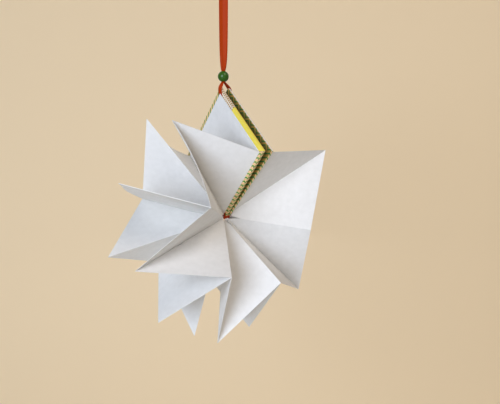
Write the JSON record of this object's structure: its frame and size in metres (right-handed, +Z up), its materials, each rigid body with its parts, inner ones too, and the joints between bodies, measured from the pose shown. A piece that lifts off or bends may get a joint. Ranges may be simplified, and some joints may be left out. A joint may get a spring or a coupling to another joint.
{
  "type": "star book",
  "caption": "Folded-paper star book hung open: lotus-folded sheets glued page to page fan out round two paper-covered boards held back to back by a ribbon with a sliding bead.",
  "frame": {"origin": "top of the hanging eye, where a hook bears, just below the ribbon's knot", "axes": "+Z up along the hanging ribbon; -Y is the near side of the star; +X from the front cover to the back cover"},
  "size_m": [0.213, 0.1173, 0.3339],
  "materials": {
    "page_paper": "matt white, uncoated",
    "cover_board": "grey board",
    "cover_paper": "printed in a small green and peach zigzag pattern, with a yellow margin",
    "ribbon": "rust orange satin",
    "bead": "green gloss paint"
  },
  "bodies": {
    "book": {"page_sheet_1": "page_paper", "page_sheet_2": "page_paper", "page_sheet_3": "page_paper", "page_sheet_4": "page_paper", "page_sheet_5": "page_paper", "front_cover_board": "cover_board", "back_cover_board": "cover_board", "front_cover_paper": "cover_paper", "back_cover_paper": "cover_paper", "ribbon_wrap": "ribbon", "ribbon_front_strand": "ribbon", "ribbon_back_strand": "ribbon", "ribbon_hanger": "ribbon", "ribbon_eye": "ribbon", "ribbon_knot": "ribbon"},
    "bead": {"bead": "bead"}
  },
  "joints": [
    {"name": "bead_slide", "type": "slide", "parent": "book", "child": "bead", "axis": [0, 0, 1], "range_m": [0, 0.05], "deforming": ["ribbon_front_strand", "ribbon_back_strand", "ribbon_hanger"]}
  ]
}
